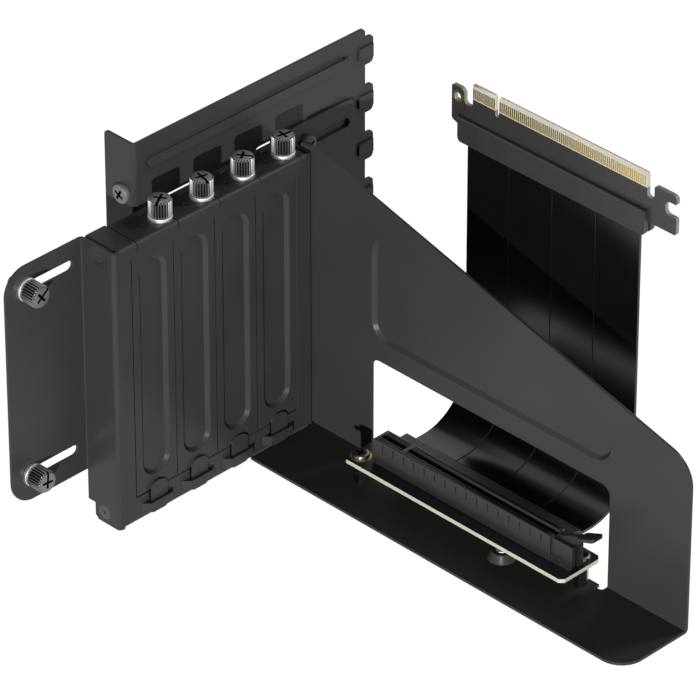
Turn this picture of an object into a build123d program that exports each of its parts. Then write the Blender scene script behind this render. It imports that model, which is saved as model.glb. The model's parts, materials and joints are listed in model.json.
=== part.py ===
"""Bracket that holds a graphics card upright in a computer case.

Bench frame used below: X runs along the card from the slot panel towards the
front of the case, Y from the free side towards the mainboard, Z up. X = 0 is
the outer face of the slot panel, Y = 0 the visible face of the side panel and
Z = 0 the face that the bracket stands on. Everything is in millimetres.
"""

import os
from math import cos, pi, sin

from build123d import *

# Sheet metal
sheet = 1.2
bend_radius = 1.1
press_depth = 1.4
seam_gap = 0.1

# Slot panel: a folded box front with a row of slots
slot_count = 4
slot_pitch = 20.32
strip_width = 8.56
panel_height = 118.4
panel_depth = 17.8
wall_foot_depth = 13.0
wall_step_height = 6.7
foot_chamfer = 1.6
foot_band_height = 10.6
lip_height = 12.0
foot_lip_height = 8.5
lip_gap = 0.15
corner_relief = 2.6

# Rear flanges with their slots
left_flange_width = 36.3
right_flange_width = 38.2
flange_bottom = 19.6
flange_corner = 10.0
right_flange_corner = 3.5
slot_height = 4.2
slot_travel = 20.3
left_slot_margin = 7.4
right_slot_start = 10.8
slot_drop = 9.2
slot_rise = 11.0

# Slot covers
cover_sheet = 1.0
cover_gap = 0.3
cover_shift = 3.1
cover_shift_top = 3.0
cover_shift_run = 3.2
cover_recess_width = 13.4
cover_recess_top = 9.0
cover_recess_bottom = 16.8
cover_body_bottom = 11.2
tongue_width = 8.4
tongue_arch = 3.2
tongue_tip = 1.4
tongue_step = 0.1
tab_length = 15.6
notch_radius = 2.1

# Lanced straps that hold the cover tongues
strap_width = 15.6
strap_height = 3.8
strap_bottom = 3.2
strap_lift = 2.2

# Thumb screws with their captive washers
knob_radius = 4.4
knob_height = 6.9
knob_chamfer = 0.5
knurl_count = 24
knurl_depth = 0.35
washer_radius = 4.2
washer_height = 1.5
washer_play = 0.06
shank_radius = 1.75
thread_play = 0.05
cover_shank_length = 8.4
flange_shank_length = 7.6
cross_length = 4.8
cross_width = 1.0
cross_depth = 1.1
cover_screw_setback = 6.5

# Side panel with its base
panel_length = 186.8
web_top_left = 120.9
web_slope = 0.2635
web_corner = 13.0
web_lip_reach = 6.3
web_lip_relief = 3.2
web_slope_start = 2.2
base_width = 32.8
base_corner = 10.0
window_start = 30.2
window_end = 148.8
window_top = 43.9
window_corner = 4.0
relief_width = 3.0
relief_depth = 2.9
web_recess_bottom = 52.6
web_recess_inset = 12.4
web_recess_corner = 8.2
boss_x = 109.5
boss_y = 13.2
boss_radius = 5.4
boss_top_radius = 4.0
boss_height = 4.5
boss_hole_radius = 2.2

# Back plate that replaces seven slots of the case
plate_slots = 7
plate_gap = 0.1
plate_left = 71.3
plate_right = 44.8
plate_bottom = 2.0
plate_corner = 2.0
plate_flange_width = 13.9
plate_flange_corner = 1.5
tab_width = 4.2
tab_height = 11.6
tab_corner = 2.0
tab_top_drop = 4.1
tab_recess_length = 6.7
tab_recess_margin = 0.5
tab_recess_height = 4.7
tab_recess_drop = 3.8
tab_recess_depth = 0.7
groove_height = 5.2
groove_drop = 10.4
groove_left = 5.6
groove_right = 8.2
groove_depth = 1.4
plate_window_left = 6.5
plate_window_right = 6.0
plate_window_bottom = 12.0
plate_window_top = 106.0
plate_window_corner = 4.0
vent_drop = 29.8
vent_a_left = 8.2
vent_a_length = 24.0
vent_b_left = 59.3
vent_b_length = 16.0
case_hole_radius = 2.0
case_hole_drop = 22.2
case_hole_setback = 5.8
case_hole_count = 6
case_screw_head = 3.9
case_screw_head_height = 2.2
case_screw_length = 6.0
plate_screw_length = 5.0

# Countersunk side screws
side_head_radius = 3.0
side_head_height = 1.1
side_shank_radius = 1.25
side_shank_length = 4.2
side_socket_radius = 0.8
side_socket_depth = 0.7
side_top_drop = 5.7
side_top_setback = 6.8
side_foot_rise = 4.7
side_foot_setback = 8.1

# Riser board and its supports
board_sheet = 1.6
board_start = 35.8
board_length = 109.6
board_front = 20.3
board_width = 20.7
board_corner = 1.6
standoff_height = 9.4
standoff_flats = 5.0
clinch_radius = 2.4
screw_radius = 1.5
board_hole_radius = 1.6
pan_radius = 3.4
pan_height = 1.5
board_screw_length = 6.0
left_post_inset_x = 3.7
left_post_inset_y = 5.5
right_post_inset_x = 5.0
right_post_inset_y = 5.2

# Card socket
socket_start = 45.6
socket_length = 89.0
socket_width = 7.5
socket_height = 11.25
socket_front = 15.1
socket_end_chamfer = 1.0
groove_width = 1.9
card_depth = 8.4
groove_end_wall = 2.2
key_offset = 14.5
key_length = 1.7
chamber_width = 3.9
chamber_bottom = 1.6
chamber_top = 7.6
tick_count = 17
tick_start = 5.0
tick_pitch = 5.28
tick_width = 0.4
tick_height = 3.4
tick_drop = 1.2
tick_depth = 0.5

# Latch at the socket's end
cheek_length = 10.0
cheek_wall = 1.5
cheek_inset = 0.8
cheek_height = 10.6
latch_gap = 0.15
latch_pin_radius = 1.0
latch_pin_x = 4.6
latch_pin_z = 3.4
latch_play = 0.05
stem_foot = 1.8
lever_start = 10.9
lever_slope = 0.41
lever_depth = 3.4
lever_reach = 19.6
paddle_sheet = 1.6
paddle_width = 5.6

# Flat riser cable: strips side by side
strip_count = 4
strip_pitch = 21.1
strip_gap = 0.15
strip_sheet = 1.2
cable_start = 45.3
cable_bend = 22.5
cable_plane = 33.8

# Cover halves over the cable's root at the riser board
root_cover_margin = 1.4
root_cover_front = 3.5
root_cover_back = 5.0
root_cover_height = 2.8
root_cover_round = 0.8

# Plug board
plug_left = 37.5
plug_right = 146.5
plug_bottom = 133.2
plug_shoulder = 149.2
plug_top = 153.1
plug_tab_end = 43.8
plug_edge_start = 47.9
plug_key_start = 11.1
plug_key_width = 1.9
plug_edge_length = 84.6
plug_notch_bottom = 143.4
plug_key_bottom = 144.5
plug_bevel = 0.5
plug_bevel_height = 1.3
plug_end_notch_width = 3.4
plug_hole_x = 40.4
plug_hole_z = 145.0
plug_hole_radius = 1.6
plug_step_x = 42.3
plug_step_bottom = 134.8
hook_throat_x = 141.2
hook_slot_bottom = 140.2
hook_slot_top = 145.6
finger_pitch = 1.0
short_fingers = 11
long_fingers = 71
finger_height = 4.2
finger_width = 0.7
finger_drop = 0.3
finger_sheet = 0.06
finger_margin = 0.55

# Cover halves on the plug board
plug_cover_left = 42.2
plug_cover_right = 133.4
plug_cover_bottom = 127.9
plug_cover_top = 138.1
plug_cover_sheet = 2.0
plug_cover_corner = 2.2

# Sizes that follow from the ones above
panel_width = slot_count * slot_pitch + 2 * strip_width
panel_left = -panel_width
flange_face = -(panel_depth - sheet)
plate_front = -(panel_depth + plate_gap)
plate_back = plate_front - sheet
slot_length = slot_travel + slot_height
slot_top_z = panel_height - slot_drop
slot_low_z = flange_bottom + slot_rise
left_flange_end = panel_left - left_flange_width
left_slot_start = left_flange_end + left_slot_margin
plate_height = plate_slots * slot_pitch
plate_top = plate_bottom + plate_height
board_bottom = sheet + standoff_height
board_top = board_bottom + board_sheet
board_mid = (board_bottom + board_top) / 2
board_back = board_width - board_front
socket_left = socket_start
socket_right = socket_start + socket_length
socket_axis = -socket_front + socket_width / 2
socket_top = board_top + socket_height
groove_floor = socket_top - card_depth
cable_end = cable_start + strip_count * strip_pitch - strip_gap
plate_screw_y = right_slot_start + slot_height / 2
flange_screw_y = left_slot_start + slot_height / 2
screw_rows = (("upper", slot_top_z), ("lower", slot_low_z))
case_x = -(panel_depth + plate_gap + case_hole_setback)
left_post = (board_start + left_post_inset_x, -board_front + left_post_inset_y)
right_post = (board_start + board_length - right_post_inset_x, board_back - right_post_inset_y)

# The part's own origin: centre of its outline on the standing face
x_low = plate_front - plate_flange_width - sheet
x_high = panel_length
y_low = left_flange_end
y_high = plate_right + tab_width
home = Pos(-(x_low + x_high) / 2, -(y_low + y_high) / 2, 0)


def along_x(sketch, low, high):
    """Prism from a sketch drawn in (Y, Z)."""
    return extrude(Plane.YZ.offset(low) * sketch, amount=high - low)


def along_y(sketch, low, high):
    """Prism from a sketch drawn in (X, Z)."""
    return extrude(Plane.XZ.offset(-low) * sketch, amount=low - high)


def along_z(sketch, low, high):
    """Prism from a sketch drawn in (X, Y)."""
    return extrude(Plane.XY.offset(low) * sketch, amount=high - low)


def block(low, high):
    """Box between two opposite corners."""
    size = [b - a for a, b in zip(low, high)]
    return Pos(*low) * Box(*size, align=(Align.MIN, Align.MIN, Align.MIN))


def outline(*corners):
    """Closed shape from corners (x, y) or (x, y, radius)."""
    sketch = make_face(Polyline(*[c[:2] for c in corners], close=True))
    for radius in sorted({c[2] for c in corners if len(c) > 2 and c[2] > 0}):
        places = [c for c in corners if len(c) > 2 and c[2] == radius]
        picked = [
            v for v in sketch.vertices() if any(abs(v.X - c[0]) + abs(v.Y - c[1]) < 1e-4 for c in places)
        ]
        sketch = fillet(picked, radius)
    return sketch


def rectangle(x0, y0, x1, y1, radius=0.0):
    """Rectangle between two corners, with rounded corners."""
    return outline((x0, y0, radius), (x1, y0, radius), (x1, y1, radius), (x0, y1, radius))


def rounded_off(x, y, radius, side, rise):
    """What a round corner takes away from the square corner (x, y)."""
    square = rectangle(x, y, x + side * radius, y + rise * radius)
    return square - Pos(x + side * radius, y + rise * radius) * Circle(radius)


def stadium(x0, x1, middle, width):
    """Slot shape that runs along the first axis from end to end."""
    centre = Pos((x0 + x1) / 2, middle)
    return centre * SlotOverall(x1 - x0, width)


def folded(thickness, *points):
    """Section of a folded sheet whose middle line passes through the points."""
    return trace(FilletPolyline(*points, radius=bend_radius), line_width=thickness)


def pressed(part, plane, rim, depth, thickness):
    """Press a recess with 45 degree walls into a sheet, away from the plane's normal."""
    wall = thickness * 0.414
    low = plane.offset(-depth)
    under = plane.offset(-thickness)
    under_low = plane.offset(-thickness - depth)
    shoulder = offset(rim, wall)
    boss = loft([under * shoulder, under_low * offset(shoulder, -depth)], ruled=True)
    pocket = loft([plane * rim, low * offset(rim, -depth)], ruled=True)
    return part + boss - pocket


def bore_x(y, z, radius, low, high):
    """Round tool along X."""
    return along_x(Pos(y, z) * Circle(radius), low, high)


def slot_panel():
    """Folded front with its walls, ledge, foot and left flange."""
    mid = sheet / 2
    plan = folded(
        sheet,
        (-panel_depth + mid, left_flange_end),
        (-panel_depth + mid, panel_left + mid),
        (-mid, panel_left + mid),
        (-mid, -mid - seam_gap),
        (-panel_depth + 3 * mid + seam_gap, -mid - seam_gap),
    )
    part = along_z(plan, 0, panel_height)
    # Below the flange the left wall runs back plain, then steps forward at its foot
    past = panel_left - left_flange_width - 1
    wall_inner = panel_left + sheet + bend_radius
    part -= block((-panel_depth - 1, past, -1), (flange_face, wall_inner, flange_bottom))
    part -= block((-panel_depth - 1, past, -1), (flange_face + bend_radius, panel_left, flange_bottom))
    foot = outline(
        (-panel_depth - 1, -1), (-panel_depth - 1, wall_step_height), (-wall_foot_depth, wall_step_height),
        (-wall_foot_depth, foot_chamfer), (-wall_foot_depth + foot_chamfer, 0),
        (-wall_foot_depth + foot_chamfer, -1),
    )
    part -= along_y(foot, past, wall_inner)
    part -= along_y(foot, -sheet - seam_gap - 0.1, 0)
    # Rounded free corners of the flange
    for z, rise in ((panel_height, -1), (flange_bottom, 1)):
        corner = rounded_off(left_flange_end, z, flange_corner, 1, rise)
        part -= along_x(corner, -panel_depth - 1, flange_face + 1)
    for _, z in screw_rows:
        shape = stadium(left_slot_start, left_slot_start + slot_length, z, slot_height)
        part -= along_x(shape, -panel_depth - 1, flange_face + 1)
    # Window for the covers, with the stepped upper corners of the covers
    left = panel_left + strip_width - cover_gap / 2
    right = -strip_width + cover_gap / 2
    shift_high = panel_height - cover_shift_top
    shift_low = shift_high - cover_shift_run
    window = outline(
        (left, foot_band_height), (right, foot_band_height), (right, shift_low),
        (right + cover_shift, shift_high), (right + cover_shift, panel_height + 1),
        (left + cover_shift, panel_height + 1), (left + cover_shift, shift_high), (left, shift_low),
    )
    part -= along_x(window, -sheet - 0.5, 1)
    # Top ledge: side stretches flush with the covers' tabs, a pressed seat under them
    outer = sheet / 2 + bend_radius
    ledge_left = panel_left + sheet + lip_gap
    ledge_right = -seam_gap - sheet - lip_gap
    part -= block(
        (-sheet - 1, panel_left + corner_relief, panel_height - outer - 0.4),
        (1, -seam_gap - corner_relief, panel_height + 1),
    )
    front_bend = folded(
        sheet,
        (-mid, panel_height - 2 * outer), (-mid, panel_height - mid),
        (-panel_depth + 1.0, panel_height - mid),
    )
    top = folded(
        sheet,
        (ledge_left + mid, panel_height - lip_height), (ledge_left + mid, panel_height - mid),
        (ledge_right - mid, panel_height - mid), (ledge_right - mid, panel_height - lip_height),
    )
    ledge = along_x(top, -panel_depth + 1.0, -corner_relief)
    ledge += along_y(front_bend, panel_left + corner_relief, -seam_gap - corner_relief)
    seat_left = left + cover_shift
    seat_right = right + cover_shift
    ledge -= block((-panel_depth, seat_left, panel_height - 2 * outer - 1), (1, seat_right, panel_height + 1))
    seat_top = panel_height - cover_sheet
    seat_front = -cover_sheet - bend_radius
    seat_back = -panel_depth + 1.0
    seat_low = seat_top - sheet
    ledge += block((seat_back, seat_left - sheet, seat_low), (seat_front, seat_right + sheet, seat_top))
    ledge += block((seat_back, seat_left - sheet, seat_low), (seat_front, seat_left, panel_height - sheet))
    ledge += block((seat_back, seat_right, seat_low), (seat_front, seat_right + sheet, panel_height - sheet))
    for y in cover_screw_places():
        ledge -= Pos(-cover_screw_setback, y, seat_top - 5) * Cylinder(shank_radius + thread_play, 12)
    part += ledge
    # Foot folded back under the slots, with a lip inside each wall
    base_lip = folded(
        sheet,
        (ledge_left + mid, foot_lip_height), (ledge_left + mid, mid),
        (ledge_right - mid, mid), (ledge_right - mid, foot_lip_height),
    )
    foot_bend = folded(sheet, (-mid, 2 * outer), (-mid, mid), (-wall_foot_depth, mid))
    part -= block((-sheet - 1, panel_left + corner_relief, -1), (1, -seam_gap - corner_relief, outer + 0.4))
    foot_sheet = along_x(base_lip, -wall_foot_depth, -corner_relief)
    foot_sheet += along_y(foot_bend, panel_left + corner_relief, -seam_gap - corner_relief)
    part += foot_sheet
    part += straps()
    for slot in range(slot_count):
        middle = panel_left + strip_width + slot_pitch * (slot + 0.5)
        part -= block(
            (-sheet - 0.5, middle - strap_width / 2 + strap_lift, strap_bottom),
            (tongue_step, middle + strap_width / 2 - strap_lift, strap_bottom + strap_height),
        )
    return part - side_screw_tools(left=True) - side_screw_tools(left=False)


def straps():
    """Bridges lanced out of the foot band, one for each cover's tongue."""
    face = tongue_step + cover_sheet + cover_gap / 2
    rise = face + sheet
    half = strap_width / 2
    group = Part()
    for slot in range(slot_count):
        middle = panel_left + strip_width + slot_pitch * (slot + 0.5)
        bow = outline(
            (0, middle - half), (rise, middle - half + rise),
            (rise, middle + half - rise), (0, middle + half),
            (0, middle + half - sheet * 1.5), (face, middle + half - rise - sheet * 0.4),
            (face, middle - half + rise + sheet * 0.4), (0, middle - half + sheet * 1.5),
        )
        group += along_z(bow, strap_bottom, strap_bottom + strap_height)
    return group


def cover_screw_places():
    """Y of each cover's screw, from the free side to the mainboard side."""
    return [panel_left + strip_width + slot_pitch * (slot + 1) for slot in range(slot_count)]


def side_screw_places():
    """(X, Z) of the two countersunk screws in each wall."""
    return (
        (-side_top_setback, panel_height - side_top_drop),
        (-side_foot_setback, side_foot_rise),
    )


def side_screw(x, z, left, play=0.0):
    """Countersunk screw with a hexagon socket, or the hole that it needs."""
    profile = outline(
        (0, 0), (side_head_radius + play, 0), (side_shank_radius + play, side_head_height + play),
        (side_shank_radius + play, side_shank_length + play * 10), (0, side_shank_length + play * 10),
    )
    screw = revolve(Plane.XZ * profile, Axis.Z)
    if play == 0:
        screw -= extrude(RegularPolygon(side_socket_radius, 6), side_socket_depth)
    turn = Rot(-90, 0, 0) if left else Rot(90, 0, 0)
    y = panel_left if left else sheet
    return Pos(x, y, z) * turn * screw


def side_screw_tools(left):
    """Clearance for the screws of one wall."""
    tools = Part()
    for x, z in side_screw_places():
        tools += side_screw(x, z, left, play=thread_play)
    return tools


def side_panel():
    """Folded web with its base and the right rear flange."""
    mid = sheet / 2
    plan = folded(
        sheet, (panel_length, mid), (-panel_depth + mid, mid), (-panel_depth + mid, right_flange_width)
    )
    upright = along_z(plan, 0, web_top_left + 10)
    bend_end = -panel_depth + sheet + bend_radius
    web_top_right = web_top_left - web_slope * panel_length
    slope_start = web_top_left - web_slope * web_slope_start
    relief_top = panel_height - web_lip_relief
    web_shape = outline(
        (bend_end, 0), (panel_length, 0), (panel_length, web_top_right, web_corner),
        (web_slope_start, slope_start),
        (-web_lip_reach, slope_start, 1.5), (-web_lip_reach, relief_top, 1.0), (bend_end, relief_top),
    )
    flange_shape = outline(
        (-1, flange_bottom), (right_flange_width, flange_bottom, right_flange_corner),
        (right_flange_width, panel_height, right_flange_corner), (sheet + bend_radius, panel_height, 0.8),
        (sheet + bend_radius, relief_top), (-1, relief_top),
    )
    web = upright & along_y(web_shape, -1, 2 * sheet)
    flange = upright & along_x(flange_shape, -panel_depth - 1, bend_end)
    part = web + flange
    # Base folded towards the free side, with its large outer corner
    fold = folded(sheet, (mid, 20), (mid, mid), (-base_width, mid))
    part -= block((seam_gap, -1, -1), (panel_length + 1, 2 * sheet, 2 * bend_radius))
    base = along_x(fold, seam_gap, panel_length)
    base_shape = outline(
        (seam_gap, sheet), (seam_gap, -base_width), (panel_length, -base_width, base_corner),
        (panel_length, sheet),
    )
    part += base & along_z(base_shape, -1, 25)
    # Opening for the riser cable, with its bend reliefs
    opening = outline(
        (window_start, -1), (window_end, -1),
        (window_end, window_top, window_corner), (window_start, window_top, window_corner),
    )
    part -= along_y(opening, -bend_radius + 0.3, 2 * sheet)
    for edge, side in ((window_start, 1), (window_end, -1)):
        low, high = sorted((edge, edge + side * relief_width))
        relief = outline((low, -relief_depth, 1.2), (high, -relief_depth, 1.2), (high, 2), (low, 2))
        part -= along_z(relief, -1, 2 * sheet)
    # Stiffening recess parallel to the sloping edge
    drop = web_recess_inset * (1 + web_slope**2) ** 0.5
    recess_top_left = web_top_left - web_slope * window_start - drop
    recess_top_right = web_top_left - web_slope * window_end - drop
    recess = outline(
        (window_start, web_recess_bottom, web_recess_corner),
        (window_end, web_recess_bottom, web_recess_corner),
        (window_end, recess_top_right, web_recess_corner), (window_start, recess_top_left, web_recess_corner),
    )
    part = pressed(part, Plane.XZ, recess, press_depth, sheet)
    # Slots for the back plate's screws
    for _, z in screw_rows:
        shape = stadium(right_slot_start, right_slot_start + slot_length, z, slot_height)
        part -= along_x(shape, -panel_depth - 1, flange_face + 1)
    # Formed boss with its hole, and the clinch holes of the two posts
    standing = (Align.CENTER, Align.CENTER, Align.MIN)
    rise = boss_height - sheet
    boss = Pos(boss_x, -boss_y, sheet) * Cone(boss_radius, boss_top_radius, rise, align=standing)
    hollow = Pos(boss_x, -boss_y, 0) * Cone(
        boss_radius - sheet * 0.6, boss_top_radius - sheet, rise, align=standing
    )
    part = part + boss - hollow
    part -= Pos(boss_x, -boss_y, 0) * Cylinder(boss_hole_radius, 3 * boss_height)
    for x, y in (left_post, right_post):
        part -= Pos(x, y, 0) * Cylinder(clinch_radius, 4 * sheet)
    return part - side_screw_tools(left=False)


def slot_cover(slot):
    """Blanking cover with a screw tab, a pressed recess and a tongue at its foot."""
    left = panel_left + strip_width + slot_pitch * slot + cover_gap / 2
    right = left + slot_pitch - cover_gap
    middle = (left + right) / 2
    shift_high = panel_height - cover_shift_top
    shift_low = shift_high - cover_shift_run
    body = outline(
        (left, cover_body_bottom), (right, cover_body_bottom), (right, shift_low),
        (right + cover_shift, shift_high), (right + cover_shift, panel_height + 1),
        (left + cover_shift, panel_height + 1), (left + cover_shift, shift_high), (left, shift_low),
    )
    mid = cover_sheet / 2
    bend = folded(cover_sheet, (-mid, 0), (-mid, panel_height - mid), (-tab_length, panel_height - mid))
    part = along_y(bend, left - 1, right + cover_shift + 1) & along_x(body, -panel_depth, 1)
    recess_top = panel_height - cover_recess_top
    recess = SlotOverall(recess_top - cover_recess_bottom, cover_recess_width)
    recess = Pos(middle, (cover_recess_bottom + recess_top) / 2) * Rot(0, 0, 90) * recess
    part = pressed(part, Plane.YZ, recess, press_depth, cover_sheet)
    # Tongue pressed forward under the strap, with an arched root
    half = tongue_width / 2
    low = tongue_step
    high = tongue_step + cover_sheet
    shape = outline(
        (middle - half, tongue_tip, 1.5), (middle + half, tongue_tip, 1.5),
        (middle + half, cover_body_bottom), (middle - half, cover_body_bottom),
    )
    arch = Pos(middle, cover_body_bottom) * Ellipse(half, tongue_arch)
    part += along_x(shape + arch, low, high)
    above = rectangle(middle - half, cover_body_bottom, middle + half, cover_body_bottom + 6)
    part += along_x(arch & above, -0.01, low)
    # Open notch for the screw
    x = -cover_screw_setback
    y = right + cover_gap / 2
    notch = Pos(x, y) * Circle(notch_radius)
    notch += rectangle(x - notch_radius, y, x + notch_radius, y + slot_pitch / 2)
    return part - along_z(notch, panel_height - 2 * cover_sheet, panel_height + 1)


def thumb_screw(shank_length, arm_turn):
    """Knurled thumb screw standing on Z = 0 with its shank below."""
    top = washer_height + knob_height
    shoulder = top - knob_chamfer
    inner = knob_radius - knurl_depth
    profile = outline(
        (0, -shank_length), (shank_radius, -shank_length), (shank_radius, shoulder), (inner, shoulder),
        (inner - knob_chamfer, top), (0, top),
    )
    screw = revolve(Plane.XZ * profile, Axis.Z)
    # Ridges and grooves in turn round the knob
    corners = []
    for i in range(2 * knurl_count):
        turn = i * pi / knurl_count
        radius = knob_radius if i % 2 == 0 else inner
        corners.append((radius * cos(turn), radius * sin(turn)))
    screw += along_z(make_face(Polyline(*corners, close=True)), washer_height, shoulder)
    cross = Rectangle(cross_length, cross_width) + Rectangle(cross_width, cross_length)
    cross += Pos(knob_radius / 2, 0) * Rectangle(knob_radius + 1, cross_width)
    return Rot(0, 0, arm_turn) * (screw - along_z(cross, top - cross_depth, top + 1))


def captive_washer():
    """Plain collar under the knob."""
    ring = Cylinder(washer_radius, washer_height) - Cylinder(shank_radius + washer_play, washer_height)
    return Pos(0, 0, washer_height / 2) * ring


def back_plate():
    """Plate over seven slots of the case, with tongues and a bent screw flange."""
    mid = sheet / 2
    plan = folded(
        sheet,
        (plate_front - mid, plate_right), (plate_front - mid, -plate_left + mid), (x_low, -plate_left + mid),
    )
    part = along_z(plan, plate_bottom, plate_top)
    for z, rise in ((plate_top, -1), (plate_bottom, 1)):
        free = rounded_off(plate_right, z, plate_corner, -1, rise)
        part -= along_x(free, plate_back - 1, plate_front + 1)
        corner = rounded_off(x_low, z, plate_flange_corner, 1, rise)
        part -= along_y(corner, -plate_left - 1, -plate_left + sheet + 1)
    for row in range(plate_slots):
        top = plate_top - tab_top_drop - row * slot_pitch
        tongue = outline(
            (plate_right - 1, top), (plate_right + tab_width, top, tab_corner),
            (plate_right + tab_width, top - tab_height, tab_corner), (plate_right - 1, top - tab_height),
        )
        part += along_x(tongue, plate_back, plate_front)
        high = top - tab_recess_drop
        low = high - tab_recess_height
        right = plate_right + tab_width - tab_recess_margin
        left = right - tab_recess_length
        wall = sheet / 3
        pocket = outline((left, low, 0.9), (right, low), (right, high), (left, high, 0.9))
        under = rectangle(left - wall, low - wall, right + wall, high + wall)
        part += along_x(under, plate_back - tab_recess_depth, plate_back)
        part -= along_x(pocket, plate_front - tab_recess_depth, plate_front + 1)
    groove = stadium(
        -plate_left + groove_left, plate_right - groove_right, plate_top - groove_drop, groove_height
    )
    part = pressed(part, Plane.YZ.offset(plate_front), groove, groove_depth, sheet)
    # Opening behind the card's own sockets, and the two vents above it
    window = rectangle(
        -plate_left + plate_window_left, plate_window_bottom,
        -plate_window_right, plate_window_top, plate_window_corner,
    )
    for start, length in ((vent_a_left, vent_a_length), (vent_b_left, vent_b_length)):
        window += stadium(
            -plate_left + start, -plate_left + start + length, plate_top - vent_drop, groove_height
        )
    part -= along_x(window, plate_back - 1, plate_front + 1)
    for _, z in screw_rows:
        part -= bore_x(plate_screw_y, z, shank_radius + thread_play, plate_back - 5, plate_front + 1)
    for z in case_hole_rows():
        part -= along_y(Pos(case_x, z) * Circle(case_hole_radius), -plate_left - 1, -plate_left + sheet + 1)
    return part


def case_hole_rows():
    """Heights of the holes in the plate's screw flange."""
    return [plate_top - case_hole_drop - row * slot_pitch for row in range(case_hole_count)]


def pan_screw(head_radius, head_height, shank, length):
    """Pan head screw with a cross recess, head up, seated on Z = 0."""
    profile = outline(
        (0, -length), (shank, -length), (shank, 0), (head_radius, 0), (head_radius * 0.72, head_height),
        (0, head_height),
    )
    long_arm = head_radius * 1.1
    arm_width = head_radius * 0.24
    cross = Rectangle(long_arm, arm_width) + Rectangle(arm_width, long_arm)
    return revolve(Plane.XZ * profile, Axis.Z) - along_z(cross, head_height * 0.4, head_height + 1)


def hex_post():
    """Post clinched into the base, with a threaded hole for the board's screw."""
    post = along_z(RegularPolygon(standoff_flats / 2, 6, major_radius=False), 0, standoff_height)
    post += Pos(0, 0, -sheet / 2) * Cylinder(clinch_radius, sheet)
    bore = Cylinder(screw_radius + thread_play, 2 * (board_screw_length - 0.4))
    return post - Pos(0, 0, standoff_height) * bore


def riser_board():
    """Board that carries the socket on two posts, with its corners cut off."""
    left, right = board_start, board_start + board_length
    front, back, cut = -board_front, board_back, board_corner
    shape = outline(
        (left + cut, front), (right - cut, front), (right, front + cut), (right, back - cut),
        (right - cut, back), (left + cut, back), (left, back - cut), (left, front + cut),
    )
    for x, y in (left_post, right_post):
        shape -= Pos(x, y) * Circle(board_hole_radius)
    return along_z(shape, board_bottom, board_top)


def card_socket():
    """Moulded socket with a keyed groove, contact chambers and end cheeks."""
    front = -socket_front
    back = front + socket_width
    section = outline(
        (front, board_top + 0.5), (front + 0.4, board_top), (back - 0.4, board_top), (back, board_top + 0.5),
        (back, socket_top - 0.3), (back - 0.3, socket_top),
        (front + 0.3, socket_top), (front, socket_top - 0.3),
    )
    part = along_x(section, socket_left, socket_right)
    end = outline(
        (socket_left, socket_top - socket_end_chamfer), (socket_left + socket_end_chamfer, socket_top),
        (socket_left, socket_top + 1), (socket_left - 1, socket_top + 1),
        (socket_left - 1, socket_top - socket_end_chamfer),
    )
    part -= along_y(end, front - 1, back + 1)
    half = groove_width / 2
    key_left = socket_left + key_offset - key_length / 2
    key_right = key_left + key_length
    stretches = ((socket_left + groove_end_wall, key_left), (key_right, socket_right - groove_end_wall + 3))
    lead = 0.6
    left = socket_axis - half
    right = socket_axis + half
    mouth = outline(
        (left, groove_floor), (right, groove_floor),
        (right, socket_top - lead), (right + lead, socket_top + 0.01),
        (left - lead, socket_top + 0.01), (left, socket_top - lead),
    )
    chamber = Pos(socket_axis, board_top + (chamber_bottom + chamber_top) / 2) * Rectangle(
        chamber_width, chamber_top - chamber_bottom
    )
    for low, high in stretches:
        part -= along_x(mouth, low, high)
        part -= along_x(chamber, low, min(high, socket_right - groove_end_wall))
    tick_top = socket_top - tick_drop
    for i in range(tick_count):
        x = socket_left + tick_start + i * tick_pitch
        for face in (front, back - tick_depth):
            part -= block((x, face, tick_top - tick_height), (x + tick_width, face + tick_depth, tick_top))
    # End cheeks that hold the latch's pin
    cheek = outline(
        (socket_right - 1, board_top), (socket_right + cheek_length - 1.2, board_top),
        (socket_right + cheek_length, board_top + 2.0),
        (socket_right + cheek_length, board_top + cheek_height),
        (socket_right - 1, board_top + cheek_height),
    )
    cheek -= Pos(socket_right + latch_pin_x, board_top + latch_pin_z) * Circle(latch_pin_radius + latch_play)
    for low in (front + cheek_inset, back - cheek_inset - cheek_wall):
        part += along_y(cheek, low, low + cheek_wall)
    return part


def socket_latch():
    """Lever that locks the card, turning on a pin between the cheeks."""
    width = socket_width - 2 * (cheek_inset + cheek_wall + latch_gap)
    # Its upper side rises in one straight line from the hook to the paddle's tip
    hook = 0.3
    root = cheek_length + 2.0
    hook_top = lever_start
    root_top = lever_start + lever_slope * root
    tip_top = lever_start + lever_slope * lever_reach
    side = outline(
        (2.2, 1.0), (latch_pin_x + stem_foot, 1.0), (cheek_length - 1.4, 1.0 + stem_foot),
        (cheek_length - 1.4, cheek_height), (root, root_top - lever_depth),
        (root, root_top), (hook, hook_top), (hook, hook_top - paddle_sheet), (2.2, hook_top - lever_depth),
    )
    blade = outline(
        (root - 0.5, root_top - paddle_sheet), (lever_reach, tip_top - paddle_sheet), (lever_reach, tip_top),
        (root - 0.5, root_top - 0.2),
    )
    plan = rectangle(root - 0.5, -paddle_width / 2, lever_reach, paddle_width / 2, 1.0)
    latch = along_y(side, -width / 2, width / 2)
    latch += along_z(plan, 0, 2 * tip_top) & along_y(blade, -paddle_width, paddle_width)
    reach = width / 2 + latch_gap + cheek_wall
    latch += along_y(Pos(latch_pin_x, latch_pin_z) * Circle(latch_pin_radius), -reach, reach)
    return Pos(socket_right, socket_axis, board_top) * latch


def ribbon_strip(index):
    """One flat strip of the riser cable, from board edge to board edge."""
    low = cable_start + index * strip_pitch
    line = FilletPolyline(
        (board_back, board_mid), (cable_plane, board_mid), (cable_plane, plug_bottom), radius=cable_bend,
    )
    return along_x(trace(line, line_width=strip_sheet), low, low + strip_pitch - strip_gap)


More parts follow.
